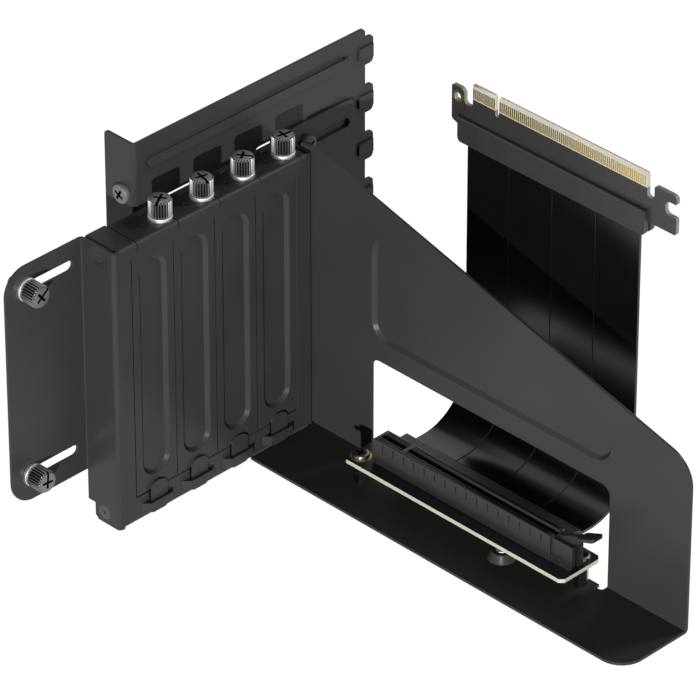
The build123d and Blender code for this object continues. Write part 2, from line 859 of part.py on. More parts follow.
def root_cover(upper):
    """Half of the moulded cover over the cable's root."""
    half = strip_sheet / 2
    side = 1 if upper else -1
    board_face = board_top if upper else board_bottom
    strip_face = board_mid + side * half
    outer = board_face + side * root_cover_height
    shape = outline(
        (board_back - root_cover_front, board_face), (board_back, board_face), (board_back, strip_face),
        (root_cover_back, strip_face), (root_cover_back, outer, root_cover_round),
        (board_back - root_cover_front, outer, root_cover_round),
    )
    return along_x(shape, cable_start - root_cover_margin, cable_end + root_cover_margin)


def plug_board():
    """Board with the card edge, its key, notches and locking hook."""
    end = plug_edge_start + plug_edge_length
    key = plug_edge_start + plug_key_start
    hook = end + plug_end_notch_width
    shape = outline(
        (plug_left, plug_step_bottom, 1.6), (plug_left, plug_shoulder, 1.0),
        (plug_tab_end, plug_shoulder, 2.2),
        (plug_tab_end, plug_notch_bottom, 1.6), (plug_edge_start, plug_notch_bottom, 1.6),
        (plug_edge_start, plug_top, 0.5),
        (key, plug_top, 0.5), (key, plug_key_bottom, 0.9), (key + plug_key_width, plug_key_bottom, 0.9),
        (key + plug_key_width, plug_top, 0.5), (end, plug_top, 0.5), (end, plug_notch_bottom, 1.4),
        (hook, plug_notch_bottom, 1.4), (hook, plug_shoulder, 1.0), (plug_right, plug_shoulder, 1.8),
        (plug_right, hook_slot_top, 0.8), (hook_throat_x, hook_slot_top, 2.0),
        (hook_throat_x, hook_slot_bottom, 2.0),
        (plug_right, hook_slot_bottom, 0.8), (plug_right, plug_bottom, 1.0), (plug_step_x, plug_bottom, 0.6),
    )
    shape -= Pos(plug_hole_x, plug_hole_z) * Circle(plug_hole_radius)
    low = cable_plane - board_sheet / 2
    part = along_y(shape, low, low + board_sheet)
    for face, side in ((low, 1), (low + board_sheet, -1)):
        wedge = outline(
            (face, plug_top), (face + side * plug_bevel, plug_top), (face, plug_top - plug_bevel_height)
        )
        part -= along_x(wedge, plug_edge_start - 1, end + 1)
    return part


def plug_fingers():
    """Gilt pads on both faces of the card edge."""
    low = cable_plane - board_sheet / 2
    places = [plug_edge_start + finger_margin + i * finger_pitch for i in range(short_fingers)]
    long_start = plug_edge_start + plug_key_start + plug_key_width + finger_margin
    places += [long_start + i * finger_pitch for i in range(long_fingers)]
    top = plug_top - plug_bevel_height - finger_drop
    half = finger_width / 2
    pads = []
    for x in places:
        for face in (low - finger_sheet, low + board_sheet):
            pads.append(block((x - half, face, top - finger_height), (x + half, face + finger_sheet, top)))
    return Part() + pads


def plug_cover(front):
    """Moulded cover half that clamps the cable to the plug board."""
    side = -1 if front else 1
    board_face = cable_plane + side * board_sheet / 2
    strip_face = cable_plane + side * strip_sheet / 2
    outer = board_face + side * plug_cover_sheet
    left = plug_cover_left
    right = plug_cover_right
    low = plug_cover_bottom
    high = plug_cover_top
    section = outline(
        (board_face, high), (board_face, plug_bottom), (strip_face, plug_bottom), (strip_face, low),
        (outer, low, 0.5), (outer, high, 0.5),
    )
    shape = outline(
        (left, low, plug_cover_corner), (right, low, plug_cover_corner),
        (right, high, 0.6), (left, high, 0.6),
    )
    return along_x(section, left, right) & along_y(shape, cable_plane - 10, cable_plane + 10)


def on_flange(piece, y, z):
    """Stand a piece that was made along Z on a rear flange, facing forward."""
    return Pos(flange_face, y, z) * Rot(0, 90, 0) * piece


def build():
    """All pieces by name, in the bench frame."""
    pieces = {
        "slot_panel": slot_panel(),
        "side_panel": side_panel(),
        "back_plate": back_plate(),
        "riser_board": riser_board(),
        "card_socket": card_socket(),
        "socket_latch": socket_latch(),
        "root_cover_upper": root_cover(True),
        "root_cover_lower": root_cover(False),
        "plug_board": plug_board(),
        "plug_fingers": plug_fingers(),
        "plug_cover_front": plug_cover(True),
        "plug_cover_back": plug_cover(False),
    }
    for index, y in enumerate(cover_screw_places()):
        place = Pos(-cover_screw_setback, y, panel_height)
        pieces[f"slot_cover_{index + 1}"] = slot_cover(index)
        pieces[f"cover_screw_{index + 1}"] = place * thumb_screw(cover_shank_length, -60 + 12 * index)
        pieces[f"cover_washer_{index + 1}"] = place * captive_washer()
    for row, z in screw_rows:
        screw = pan_screw(case_screw_head, case_screw_head_height, shank_radius, plate_screw_length)
        pieces[f"plate_screw_{row}"] = on_flange(screw, plate_screw_y, z)
        pieces[f"flange_screw_{row}"] = on_flange(thumb_screw(flange_shank_length, 110), flange_screw_y, z)
        pieces[f"flange_washer_{row}"] = on_flange(captive_washer(), flange_screw_y, z)
    for name, z in (("upper", case_hole_rows()[0]), ("lower", case_hole_rows()[-1])):
        shank = case_hole_radius - thread_play
        screw = pan_screw(case_screw_head, case_screw_head_height, shank, case_screw_length)
        pieces[f"case_screw_{name}"] = Pos(case_x, -plate_left, z) * Rot(90, 0, 0) * screw
    for name, (x, y) in (("left", left_post), ("right", right_post)):
        pieces[f"post_{name}"] = Pos(x, y, sheet) * hex_post()
        screw = pan_screw(pan_radius, pan_height, screw_radius, board_screw_length)
        pieces[f"board_screw_{name}"] = Pos(x, y, board_top) * screw
    for name, left in (("left", True), ("right", False)):
        screws = [side_screw(x, z, left) for x, z in side_screw_places()]
        pieces[f"side_screws_{name}"] = Part() + screws
    for index in range(strip_count):
        pieces[f"ribbon_strip_{index + 1}"] = ribbon_strip(index)
    return pieces


os.makedirs("parts", exist_ok=True)
for node, piece in build().items():
    export_step(home * piece, f"parts/{node}.step")
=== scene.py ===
import json
from math import atan2, cos, pi, radians, sin

import bmesh
import bpy
from bpy.props import FloatProperty, FloatVectorProperty, IntProperty, PointerProperty
from mathutils import Matrix, Vector
from mathutils.bvhtree import BVHTree

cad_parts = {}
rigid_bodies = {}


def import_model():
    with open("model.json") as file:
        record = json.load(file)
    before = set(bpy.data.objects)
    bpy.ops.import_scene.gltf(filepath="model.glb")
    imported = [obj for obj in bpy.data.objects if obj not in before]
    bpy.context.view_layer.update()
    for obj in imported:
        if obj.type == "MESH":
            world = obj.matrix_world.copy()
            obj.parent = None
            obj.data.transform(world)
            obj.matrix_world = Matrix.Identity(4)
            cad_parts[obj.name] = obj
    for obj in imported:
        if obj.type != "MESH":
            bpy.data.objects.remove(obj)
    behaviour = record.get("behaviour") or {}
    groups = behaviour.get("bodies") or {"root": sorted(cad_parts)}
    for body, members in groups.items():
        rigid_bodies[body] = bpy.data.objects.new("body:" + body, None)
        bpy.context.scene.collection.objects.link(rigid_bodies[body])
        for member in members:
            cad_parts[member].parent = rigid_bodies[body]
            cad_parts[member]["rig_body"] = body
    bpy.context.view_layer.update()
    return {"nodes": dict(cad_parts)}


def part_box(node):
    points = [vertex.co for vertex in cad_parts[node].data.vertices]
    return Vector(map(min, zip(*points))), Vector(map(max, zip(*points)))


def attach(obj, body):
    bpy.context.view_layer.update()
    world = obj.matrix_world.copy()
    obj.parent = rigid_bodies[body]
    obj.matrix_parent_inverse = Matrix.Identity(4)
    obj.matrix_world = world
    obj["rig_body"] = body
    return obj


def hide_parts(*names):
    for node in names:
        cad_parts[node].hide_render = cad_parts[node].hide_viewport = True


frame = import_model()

bl_info = {
    "name": "Upright card bracket",
    "version": (1, 0, 0),
    "blender": (4, 5, 0),
    "location": "3D View > Sidebar > Bracket",
    "description": "Dresses the bracket's solids with its finishes and sets up the studio",
    "category": "Object",
}

MM = 0.001
COVER_ROWS = (1, 2, 3, 4)
FLANGE_ROWS = ("upper", "lower")
STRIP_ROWS = (1, 2, 3, 4)
SIDES = ("left", "right")
THUMB_SCREWS = [f"cover_screw_{row}" for row in COVER_ROWS] + [f"flange_screw_{row}" for row in FLANGE_ROWS]
# Corners nearer than the first are one, and a corner nearer than the second to a layer of the sheet is on it
SEAM, LAYER = 0.0005 * MM, 0.05 * MM
# Scale at which a wave pattern has one line to the unit
WAVE_LINE = 0.314


def linear(hex_colour):
    """Linear red, green and blue of an sRGB hex colour."""
    parts = [int(hex_colour[i:i + 2], 16) / 255 for i in (1, 3, 5)]
    return [p / 12.92 if p <= 0.04045 else ((p + 0.055) / 1.055) ** 2.4 for p in parts]


def per_mm(size):
    """Texture scale at which one feature is this many millimetres across."""
    return 1 / (size * MM)


class BRACKET_PG_sizes(bpy.types.PropertyGroup):
    sheet_edge: FloatProperty(
        name="Sheet edge", description="Round on the cut edges of the steel sheet",
        default=0.14 * MM, min=0, unit="LENGTH", precision=5,
    )
    moulded_edge: FloatProperty(
        name="Moulded edge", description="Round on the edges of the moulded pieces",
        default=0.1 * MM, min=0, unit="LENGTH", precision=5,
    )
    small_edge: FloatProperty(
        name="Small edge", description="Round on the edges of screws and posts",
        default=0.07 * MM, min=0, unit="LENGTH", precision=5,
    )
    knob_ridges: IntProperty(
        name="Knob ridges", description="Straight ridges round each thumb screw",
        default=24, min=12, max=60,
    )
    ridge_depth: FloatProperty(
        name="Ridge depth", description="Depth of the grooves between the ridges",
        default=0.6 * MM, min=0, unit="LENGTH", precision=5,
    )
    strip_edge: FloatProperty(
        name="Strip edge", description="Round on the long edges of the cable's strips",
        default=0.15 * MM, min=0, unit="LENGTH", precision=5,
    )
    plate_sheet: FloatProperty(
        name="Plate sheet", description="Thickness of the rear plate",
        default=1.2 * MM, min=0, unit="LENGTH", precision=5,
    )
    strip_gap: FloatProperty(
        name="Strip gap", description="What each strip stands back from its neighbour's side",
        default=0.1 * MM, min=0, unit="LENGTH", precision=5,
    )
    pad_ring: FloatProperty(
        name="Pad ring", description="Width of the gilt ring round the plug board's hole",
        default=0.9 * MM, min=0, unit="LENGTH", precision=5,
    )
    screw_pad: FloatProperty(
        name="Screw pad", description="Outer diameter of the gilt pad under the left board screw",
        default=8.2 * MM, min=0, unit="LENGTH", precision=5,
    )
    dimple: FloatProperty(
        name="Dimple", description="Diameter of the dimples in the covers' tabs",
        default=2.0 * MM, min=0, unit="LENGTH", precision=5,
    )


class BRACKET_PG_colours(bpy.types.PropertyGroup):
    powder_coat: FloatVectorProperty(
        name="Powder coat", description="Satin black on the steel sheet", subtype="COLOR",
        default=linear("#353331"), min=0, max=1,
    )
    plating: FloatVectorProperty(
        name="Plating", description="Nickel on the thumb screws", subtype="COLOR",
        default=linear("#858280"), min=0, max=1,
    )
    # Painted shade: black put in the grooves and crosses of the thumb screws
    groove: FloatVectorProperty(
        name="Groove", description="Black in the grooves and crosses of the thumb screws", subtype="COLOR",
        default=linear("#080707"), min=0, max=1,
    )
    case_screw: FloatVectorProperty(
        name="Case screw", description="Dull zinc on the case screws", subtype="COLOR",
        default=linear("#757271"), min=0, max=1,
    )
    washer: FloatVectorProperty(
        name="Washer", description="Bright collar under each knob", subtype="COLOR",
        default=linear("#eceae8"), min=0, max=1,
    )
    dark_screw: FloatVectorProperty(
        name="Dark screw", description="Black oxide on the small screws", subtype="COLOR",
        default=linear("#4c4a48"), min=0, max=1,
    )
    board_screw: FloatVectorProperty(
        name="Board screw", description="Darkened nickel on the board screws and posts", subtype="COLOR",
        default=linear("#6a6865"), min=0, max=1,
    )
    gold: FloatVectorProperty(
        name="Gold", description="Hard gold on the pads", subtype="COLOR",
        default=linear("#e6d28c"), min=0, max=1,
    )
    solder_mask: FloatVectorProperty(
        name="Solder mask", description="Black lacquer on the riser board", subtype="COLOR",
        default=linear("#121211"), min=0, max=1,
    )
    plug_mask: FloatVectorProperty(
        name="Plug mask", description="Black lacquer on the plug board, a little greyer", subtype="COLOR",
        default=linear("#2a2928"), min=0, max=1,
    )
    laminate: FloatVectorProperty(
        name="Laminate", description="Glass laminate at the riser board's cut edges", subtype="COLOR",
        default=linear("#d6d3c2"), min=0, max=1,
    )
    grey_laminate: FloatVectorProperty(
        name="Grey laminate", description="Duller laminate at the plug board's cut edges", subtype="COLOR",
        default=linear("#8f8e86"), min=0, max=1,
    )
    moulding: FloatVectorProperty(
        name="Moulding", description="Black moulded plastic of the socket", subtype="COLOR",
        default=linear("#1f1e1e"), min=0, max=1,
    )
    latch: FloatVectorProperty(
        name="Latch", description="Deeper black of the latch lever", subtype="COLOR",
        default=linear("#0d0d0d"), min=0, max=1,
    )
    cover_moulding: FloatVectorProperty(
        name="Cover moulding", description="Black moulded plastic of the cable's covers", subtype="COLOR",
        default=linear("#272625"), min=0, max=1,
    )
    # Painted shade: black put in the socket's windows, the screws' crosses and on the covers' cut sides
    pit: FloatVectorProperty(
        name="Pit", description="Black in the socket's windows and the screws' crosses", subtype="COLOR",
        default=linear("#070707"), min=0, max=1,
    )
    sleeve: FloatVectorProperty(
        name="Sleeve", description="Glossy black sleeve of the riser cable", subtype="COLOR",
        default=linear("#0a0a0a"), min=0, max=1,
    )


def add_node(tree, kind, inputs=None, **settings):
    """Add one node with its settings, and feed its inputs with values or with other nodes' outputs."""
    made = tree.nodes.new(kind)
    for key, value in settings.items():
        setattr(made, key, value)
    for key, value in (inputs or {}).items():
        if isinstance(value, bpy.types.NodeSocket):
            tree.links.new(value, made.inputs[key])
        else:
            made.inputs[key].default_value = value
    return made


def start_finish(name):
    """Empty material and its node tree."""
    finish = bpy.data.materials.new(name)
    finish.use_nodes = True
    finish.node_tree.nodes.clear()
    return finish, finish.node_tree


def close_finish(finish, shader_inputs):
    """Put the shader and the output at the end of a material's nodes."""
    tree = finish.node_tree
    shader = add_node(tree, "ShaderNodeBsdfPrincipled", shader_inputs)
    add_node(tree, "ShaderNodeOutputMaterial", {"Surface": shader.outputs[0]})
    return finish


def on_object(tree):
    """Place on the piece."""
    return add_node(tree, "ShaderNodeTexCoord").outputs["Object"]


def noise(tree, place, size, detail, roughness=0.5):
    """Cloudy pattern with features of this many millimetres."""
    made = add_node(
        tree, "ShaderNodeTexNoise",
        {"Vector": place, "Scale": per_mm(size), "Detail": detail, "Roughness": roughness},
    )
    return made.outputs["Fac"]


def blend(tree, pattern, first, second):
    """Colour that runs from the first to the second with a pattern."""
    made = add_node(
        tree, "ShaderNodeMix", {"Factor": pattern, "A": (*first, 1), "B": (*second, 1)}, data_type="RGBA",
    )
    return made.outputs["Result"]


def spread(tree, pattern, low, high):
    """Number that runs from low to high with a pattern."""
    made = add_node(tree, "ShaderNodeMapRange", {"Value": pattern, "To Min": low, "To Max": high})
    return made.outputs["Result"]


def relief(tree, pattern, strength, depth):
    """Fine relief of a pattern, its depth in millimetres."""
    made = add_node(
        tree, "ShaderNodeBump", {"Height": pattern, "Strength": strength, "Distance": depth * MM},
    )
    return made.outputs["Normal"]


def tinted(colour, share):
    """Colour made darker or lighter."""
    return [c * share for c in colour]


def powder_coated_steel(name, coat):
    """Powder coat baked on steel: a satin black with a fine orange peel that softens every reflection."""
    finish, tree = start_finish(name)
    place = on_object(tree)
    # The real peel is about 0.3 mm across, drawn a little coarser so that it shows
    peel = noise(tree, place, 0.55, 3.0, 0.6)
    cloud = noise(tree, place, 38, 2.0)
    speck = noise(tree, place, 1.1, 2.0)
    grit = add_node(
        tree, "ShaderNodeMapRange",
        {"Value": speck, "From Min": 0.3, "From Max": 0.7, "To Min": 0.3, "To Max": 0.38},
    )
    return close_finish(finish, {
        "Base Color": blend(tree, cloud, coat, tinted(coat, 1.35)),
        "Roughness": grit.outputs["Result"],
        "Normal": relief(tree, peel, 0.16, 0.05),
        "Metallic": 0.0, "IOR": 1.5, "Specular IOR Level": 0.13,
    })


def nickel_plated_steel(name, colour, roughness):
    """Turned steel with a nickel plate: fine rings from the lathe pull the highlights round."""
    finish, tree = start_finish(name)
    place = add_node(tree, "ShaderNodeTexCoord").outputs["UV"]
    # Lathe marks are about 0.1 mm apart, drawn at 0.35 mm so that they show
    rings = add_node(
        tree, "ShaderNodeTexWave",
        {"Vector": place, "Scale": WAVE_LINE * per_mm(0.35), "Distortion": 0.6, "Detail": 2.0},
        wave_type="RINGS", rings_direction="Z",
    )
    stain = noise(tree, place, 2.4, 4.0)
    return close_finish(finish, {
        "Base Color": blend(tree, stain, tinted(colour, 0.86), colour),
        "Roughness": spread(tree, stain, roughness - 0.06, roughness + 0.08),
        "Normal": relief(tree, rings.outputs["Fac"], 0.18, 0.03),
        "Metallic": 1.0,
    })


def small_screw_steel(name, colour, metallic, roughness):
    """Small machine screws: an even plating, a little duller in patches."""
    finish, tree = start_finish(name)
    patch = noise(tree, on_object(tree), 1.6, 3.0)
    return close_finish(finish, {
        "Base Color": (*colour, 1),
        "Roughness": spread(tree, patch, roughness - 0.05, roughness + 0.1),
        "Normal": relief(tree, patch, 0.12, 0.03),
        "Metallic": metallic,
    })


def painted_shade_finish(name, colour):
    """Painted shade: a dull black put where a pit or groove swallows the light; with almost no shine it
    stays black when lit.
    """
    finish, tree = start_finish(name)
    dust = noise(tree, on_object(tree), 1.2, 2.0)
    return close_finish(finish, {
        "Base Color": blend(tree, dust, colour, tinted(colour, 1.5)),
        "Roughness": 0.9, "Specular IOR Level": 0.03,
    })


def hard_gold_plate(name, gold):
    """Hard gold over nickel on the contacts: pale, satin and faintly brushed."""
    finish, tree = start_finish(name)
    # Brush marks are finer than 0.1 mm, drawn at 0.4 mm so that they show
    brush = noise(tree, on_object(tree), 0.4, 3.0)
    return close_finish(finish, {
        "Base Color": blend(tree, brush, tinted(gold, 0.82), gold),
        "Normal": relief(tree, brush, 0.1, 0.02),
        "Metallic": 1.0, "Roughness": 0.3,
    })


def black_solder_mask(name, tone):
    """Black solder mask over copper: glossy lacquer in which the fine lines of the copper stand out."""
    finish, tree = start_finish(name)
    place = on_object(tree)
    # Copper lines follow the cable's run, one to each contact at 1 mm
    lines = add_node(
        tree, "ShaderNodeTexWave",
        {"Vector": place, "Scale": WAVE_LINE * per_mm(1.0), "Distortion": 0.0},
        wave_type="BANDS", bands_direction="X",
    ).outputs["Fac"]
    cloud = noise(tree, place, 9, 2.0)
    return close_finish(finish, {
        "Base Color": blend(tree, lines, tone, tinted(tone, 1.6)),
        "Roughness": spread(tree, cloud, 0.3, 0.38),
        "Normal": relief(tree, lines, 0.15, 0.03),
        "IOR": 1.5,
    })


def glass_laminate(name, colour):
    """Routed edge of glass and resin laminate: pale, matt, with the layers of cloth just visible."""
    finish, tree = start_finish(name)
    fibre = noise(tree, on_object(tree), 0.5, 4.0)
    return close_finish(finish, {
        "Base Color": blend(tree, fibre, tinted(colour, 0.74), colour),
        "Normal": relief(tree, fibre, 0.3, 0.04),
        "Roughness": 0.6, "IOR": 1.5,
    })


def moulded_nylon(name, colour, roughness):
    """Glass filled nylon from the mould: matt black with a fine, even grain."""
    finish, tree = start_finish(name)
    place = on_object(tree)
    # The mould's grain is about 0.1 mm, drawn at 0.35 mm so that it shows
    grain = noise(tree, place, 0.35, 3.0)
    flow = noise(tree, place, 7, 2.0)
    return close_finish(finish, {
        "Base Color": blend(tree, flow, colour, tinted(colour, 1.4)),
        "Roughness": spread(tree, flow, roughness - 0.04, roughness + 0.05),
        "Normal": relief(tree, grain, 0.25, 0.03),
        "IOR": 1.5,
    })


def cable_sleeve(name, sleeve):
    """Smooth film sleeve over flat wires: glossy black, with a slight swell that bends its reflections."""
    finish, tree = start_finish(name)
    swell = noise(tree, on_object(tree), 30, 1.0)
    return close_finish(finish, {
        "Base Color": blend(tree, swell, sleeve, tinted(sleeve, 1.3)),
        "Roughness": spread(tree, swell, 0.17, 0.23),
        "Normal": relief(tree, swell, 0.08, 0.1),
        "IOR": 1.5,
    })


def finish_named(name, maker, *settings):
    """The material of this name, made once."""
    return bpy.data.materials.get(name) or maker(name, *settings)


def steel_coat():
    coat = bpy.context.scene.bracket_colours.powder_coat
    return finish_named("powder_coated_steel", powder_coated_steel, coat)


def gold_plate():
    return finish_named("hard_gold_plate", hard_gold_plate, bpy.context.scene.bracket_colours.gold)


def ivory_laminate():
    return finish_named("ivory_glass_laminate", glass_laminate, bpy.context.scene.bracket_colours.laminate)


def grey_laminate():
    colour = bpy.context.scene.bracket_colours.grey_laminate
    return finish_named("grey_glass_laminate", glass_laminate, colour)


# Painted shade for pits, crosses and the seams between the covers
def painted_pit_shade():
    return finish_named("black_pit", painted_shade_finish, bpy.context.scene.bracket_colours.pit)


def add_piece(shape, name, finishes, node, replaced=()):
    """Turn a shape into a named piece that rides with a node's body."""
    mesh = bpy.data.meshes.new(name)
    shape.to_mesh(mesh)
    shape.free()
    for finish in finishes:
        mesh.materials.append(finish)
    piece = bpy.data.objects.new(name, mesh)
    bpy.context.scene.collection.objects.link(piece)
    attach(piece, frame["nodes"][node]["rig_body"])
    if replaced:
        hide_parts(*replaced)
    return piece


def joined_shape(node):
    """A node's solid as one closed shape with its flat faces whole."""
    shape = bmesh.new()
    shape.from_mesh(frame["nodes"][node].data)
    bmesh.ops.remove_doubles(shape, verts=shape.verts, dist=SEAM)
    bmesh.ops.dissolve_limit(
        shape, angle_limit=radians(0.6), use_dissolve_boundaries=False,
        verts=shape.verts, edges=shape.edges, delimit={"NORMAL"},
    )
    return shape


def soften(shape, width, steps=2, least=38):
    """Round the shape's hard edges and shade the rest smooth."""
    surface = BVHTree.FromBMesh(shape)
    box = [[end(v.co[axis] for v in shape.verts) for axis in range(3)] for end in (min, max)]
    hard = [e for e in shape.edges if e.is_manifold and e.calc_face_angle(0) > radians(least)]
    bmesh.ops.bevel(
        shape, geom=hard, offset=width, offset_type="OFFSET", segments=steps, profile=0.5, affect="EDGES",
        material=-1, clamp_overlap=False,
    )
    # Where folds meet at a sharp angle a rounded corner can run past the sheet, and is laid back on it
    for vert in shape.verts:
        near, _, _, away = surface.find_nearest(vert.co)
        if away > width:
            vert.co = near
        vert.co = [min(max(c, low), high) for c, low, high in zip(vert.co, *box)]
    for face in shape.faces:
        face.smooth = True


def weigh_normals(piece):
    """Let the large faces set the shading, so that flats stay flat beside a bend."""
    weighted = piece.modifiers.new("weighted", "WEIGHTED_NORMAL")
    weighted.mode = "FACE_AREA"
    weighted.weight = 60
    weighted.keep_sharp = False
    return piece


def dress(node, finish, edge):
    """Softened piece in a node's place."""
    shape = joined_shape(node)
    soften(shape, edge)
    return weigh_normals(add_piece(shape, f"{node}_dressed", [finish], node, [node]))


def cut_away(shape, tool):
    """The shape without what the tool covers."""
    meshes = []
    for name, part in (("cut_body", shape), ("cut_tool", tool)):
        mesh = bpy.data.meshes.new(name)
        part.to_mesh(mesh)
        part.free()
        made = bpy.data.objects.new(name, mesh)
        bpy.context.scene.collection.objects.link(made)
        meshes.append(made)
    body, cutter = meshes
    cut = body.modifiers.new("cut", "BOOLEAN")
    cut.operation = "DIFFERENCE"
    cut.solver = "EXACT"
    cut.use_self = True
    cut.object = cutter
    seen = bpy.context.evaluated_depsgraph_get()
    result = bpy.data.meshes.new_from_object(body.evaluated_get(seen))
    made = bmesh.new()
    made.from_mesh(result)
    for item in (body, cutter):
        bpy.data.objects.remove(item)
    return made


def towards(azimuth, elevation):
    """Direction out from the bracket, in degrees round from the front and up from level."""
    a, e = radians(azimuth), radians(elevation)
    return Vector((sin(a) * cos(e), -cos(a) * cos(e), sin(e)))


class BRACKET_OT_stage(bpy.types.Operator):
    """Camera at the photograph's angle, pale floor and soft studio light"""
    bl_idname = "bracket.stage"
    bl_label = "Studio"

    def execute(self, context):
        scene = context.scene
        scene.view_settings.view_transform = "Standard"
        # Direction, distance, aim and lens follow from points measured in the photograph
        back, distance = towards(45.05, 33.315), 2.15803
        target = Vector((-0.01781, 0.00285, 0.07907))
        camera = bpy.data.objects.new("camera", bpy.data.cameras.new("camera"))
        camera.data.sensor_width = 36
        camera.data.lens = 313.2
        camera.location = target + back * distance
        camera.rotation_euler = back.to_track_quat("Z", "Y").to_euler()
        scene.collection.objects.link(camera)
        scene.camera = camera
        self.add_floor(scene)
        self.add_world(scene)
        # A small lamp, almost level with the bracket, lights the upright faces and throws hard shadows
        # of the screws on the rear plate. A weak broad one keeps the tops visible, and one behind draws
        # the edges
        self.add_lamp(scene, "low_front", azimuth=37.4, elevation=4, reach=1.9, size=0.06, power=43)
        self.add_lamp(scene, "soft_top", azimuth=20, elevation=62, reach=1.6, size=1.2, power=0.5)
        self.add_lamp(scene, "edge_light", azimuth=157, elevation=38, reach=1.6, size=0.4, power=9)
        return {"FINISHED"}

    def add_lamp(self, scene, name, azimuth, elevation, reach, size, power):
        back = towards(azimuth, elevation)
        lamp = bpy.data.objects.new(name, bpy.data.lights.new(name, "AREA"))
        lamp.data.shape = "DISK"
        lamp.data.size = size
        lamp.data.energy = power
        lamp.location = Vector((0, 0, 0.06)) + back * reach
        lamp.rotation_euler = back.to_track_quat("Z", "Y").to_euler()
        scene.collection.objects.link(lamp)

    def add_floor(self, scene):
        radius, below = 6, 0.02 * MM
        shape = bmesh.new()
        bmesh.ops.create_circle(shape, cap_ends=True, segments=96, radius=radius)
        bmesh.ops.translate(shape, verts=shape.verts, vec=(0, 0, -below))
        mesh = bpy.data.meshes.new("floor")
        shape.to_mesh(mesh)
        shape.free()
        floor = bpy.data.objects.new("floor", mesh)
        scene.collection.objects.link(floor)
        finish, tree = start_finish("studio_floor")
        # To the eye the floor is white paper lit from behind, which leaves a faint shadow on it
        seen = self.background_ray(tree)
        glow = add_node(tree, "ShaderNodeMath", {0: seen, 1: 0.97}, operation="MULTIPLY")
        close_finish(finish, {
            "Base Color": blend(tree, seen, (0.75, 0.75, 0.75), (0.3, 0.3, 0.3)),
            "Roughness": 0.9, "Specular IOR Level": 0.0,
            "Emission Color": (1, 1, 1, 1), "Emission Strength": glow.outputs[0],
        })
        mesh.materials.append(finish)

    def background_ray(self, tree):
        """One where the eye, a reflection or a clear piece meets the background."""
        path = add_node(tree, "ShaderNodeLightPath")
        first = add_node(
            tree, "ShaderNodeMath",
            {0: path.outputs["Is Camera Ray"], 1: path.outputs["Is Glossy Ray"]}, operation="MAXIMUM",
        )
        both = add_node(
            tree, "ShaderNodeMath",
            {0: first.outputs[0], 1: path.outputs["Is Transmission Ray"]}, operation="MAXIMUM",
        )
        return both.outputs[0]

    def add_world(self, scene):
        world = bpy.data.worlds.new("studio")
        scene.world = world
        world.use_nodes = True
        tree = world.node_tree
        tree.nodes.clear()
        # The background looks white, but lends the bracket only a little of its light
        light = add_node(tree, "ShaderNodeBackground", {"Color": (1, 1, 1, 1), "Strength": 0.06})
        seen = add_node(tree, "ShaderNodeBackground", {"Color": (1, 1, 1, 1), "Strength": 1.0})
        mixed = add_node(
            tree, "ShaderNodeMixShader",
            {0: self.background_ray(tree), 1: light.outputs[0], 2: seen.outputs[0]},
        )
        add_node(tree, "ShaderNodeOutputWorld", {"Surface": mixed.outputs[0]})


class BRACKET_OT_slot_panel(bpy.types.Operator):
    """Folded slot panel with its straps, ledge and left flange"""
    bl_idname = "bracket.slot_panel"
    bl_label = "Slot panel"

    def execute(self, context):
        dress("slot_panel", steel_coat(), context.scene.bracket_sizes.sheet_edge)
        return {"FINISHED"}


class BRACKET_OT_side_panel(bpy.types.Operator):
    """Side panel with its sloping edge, pressed recess and base"""
    bl_idname = "bracket.side_panel"
    bl_label = "Side panel"

    def execute(self, context):
        dress("side_panel", steel_coat(), context.scene.bracket_sizes.sheet_edge)
        return {"FINISHED"}


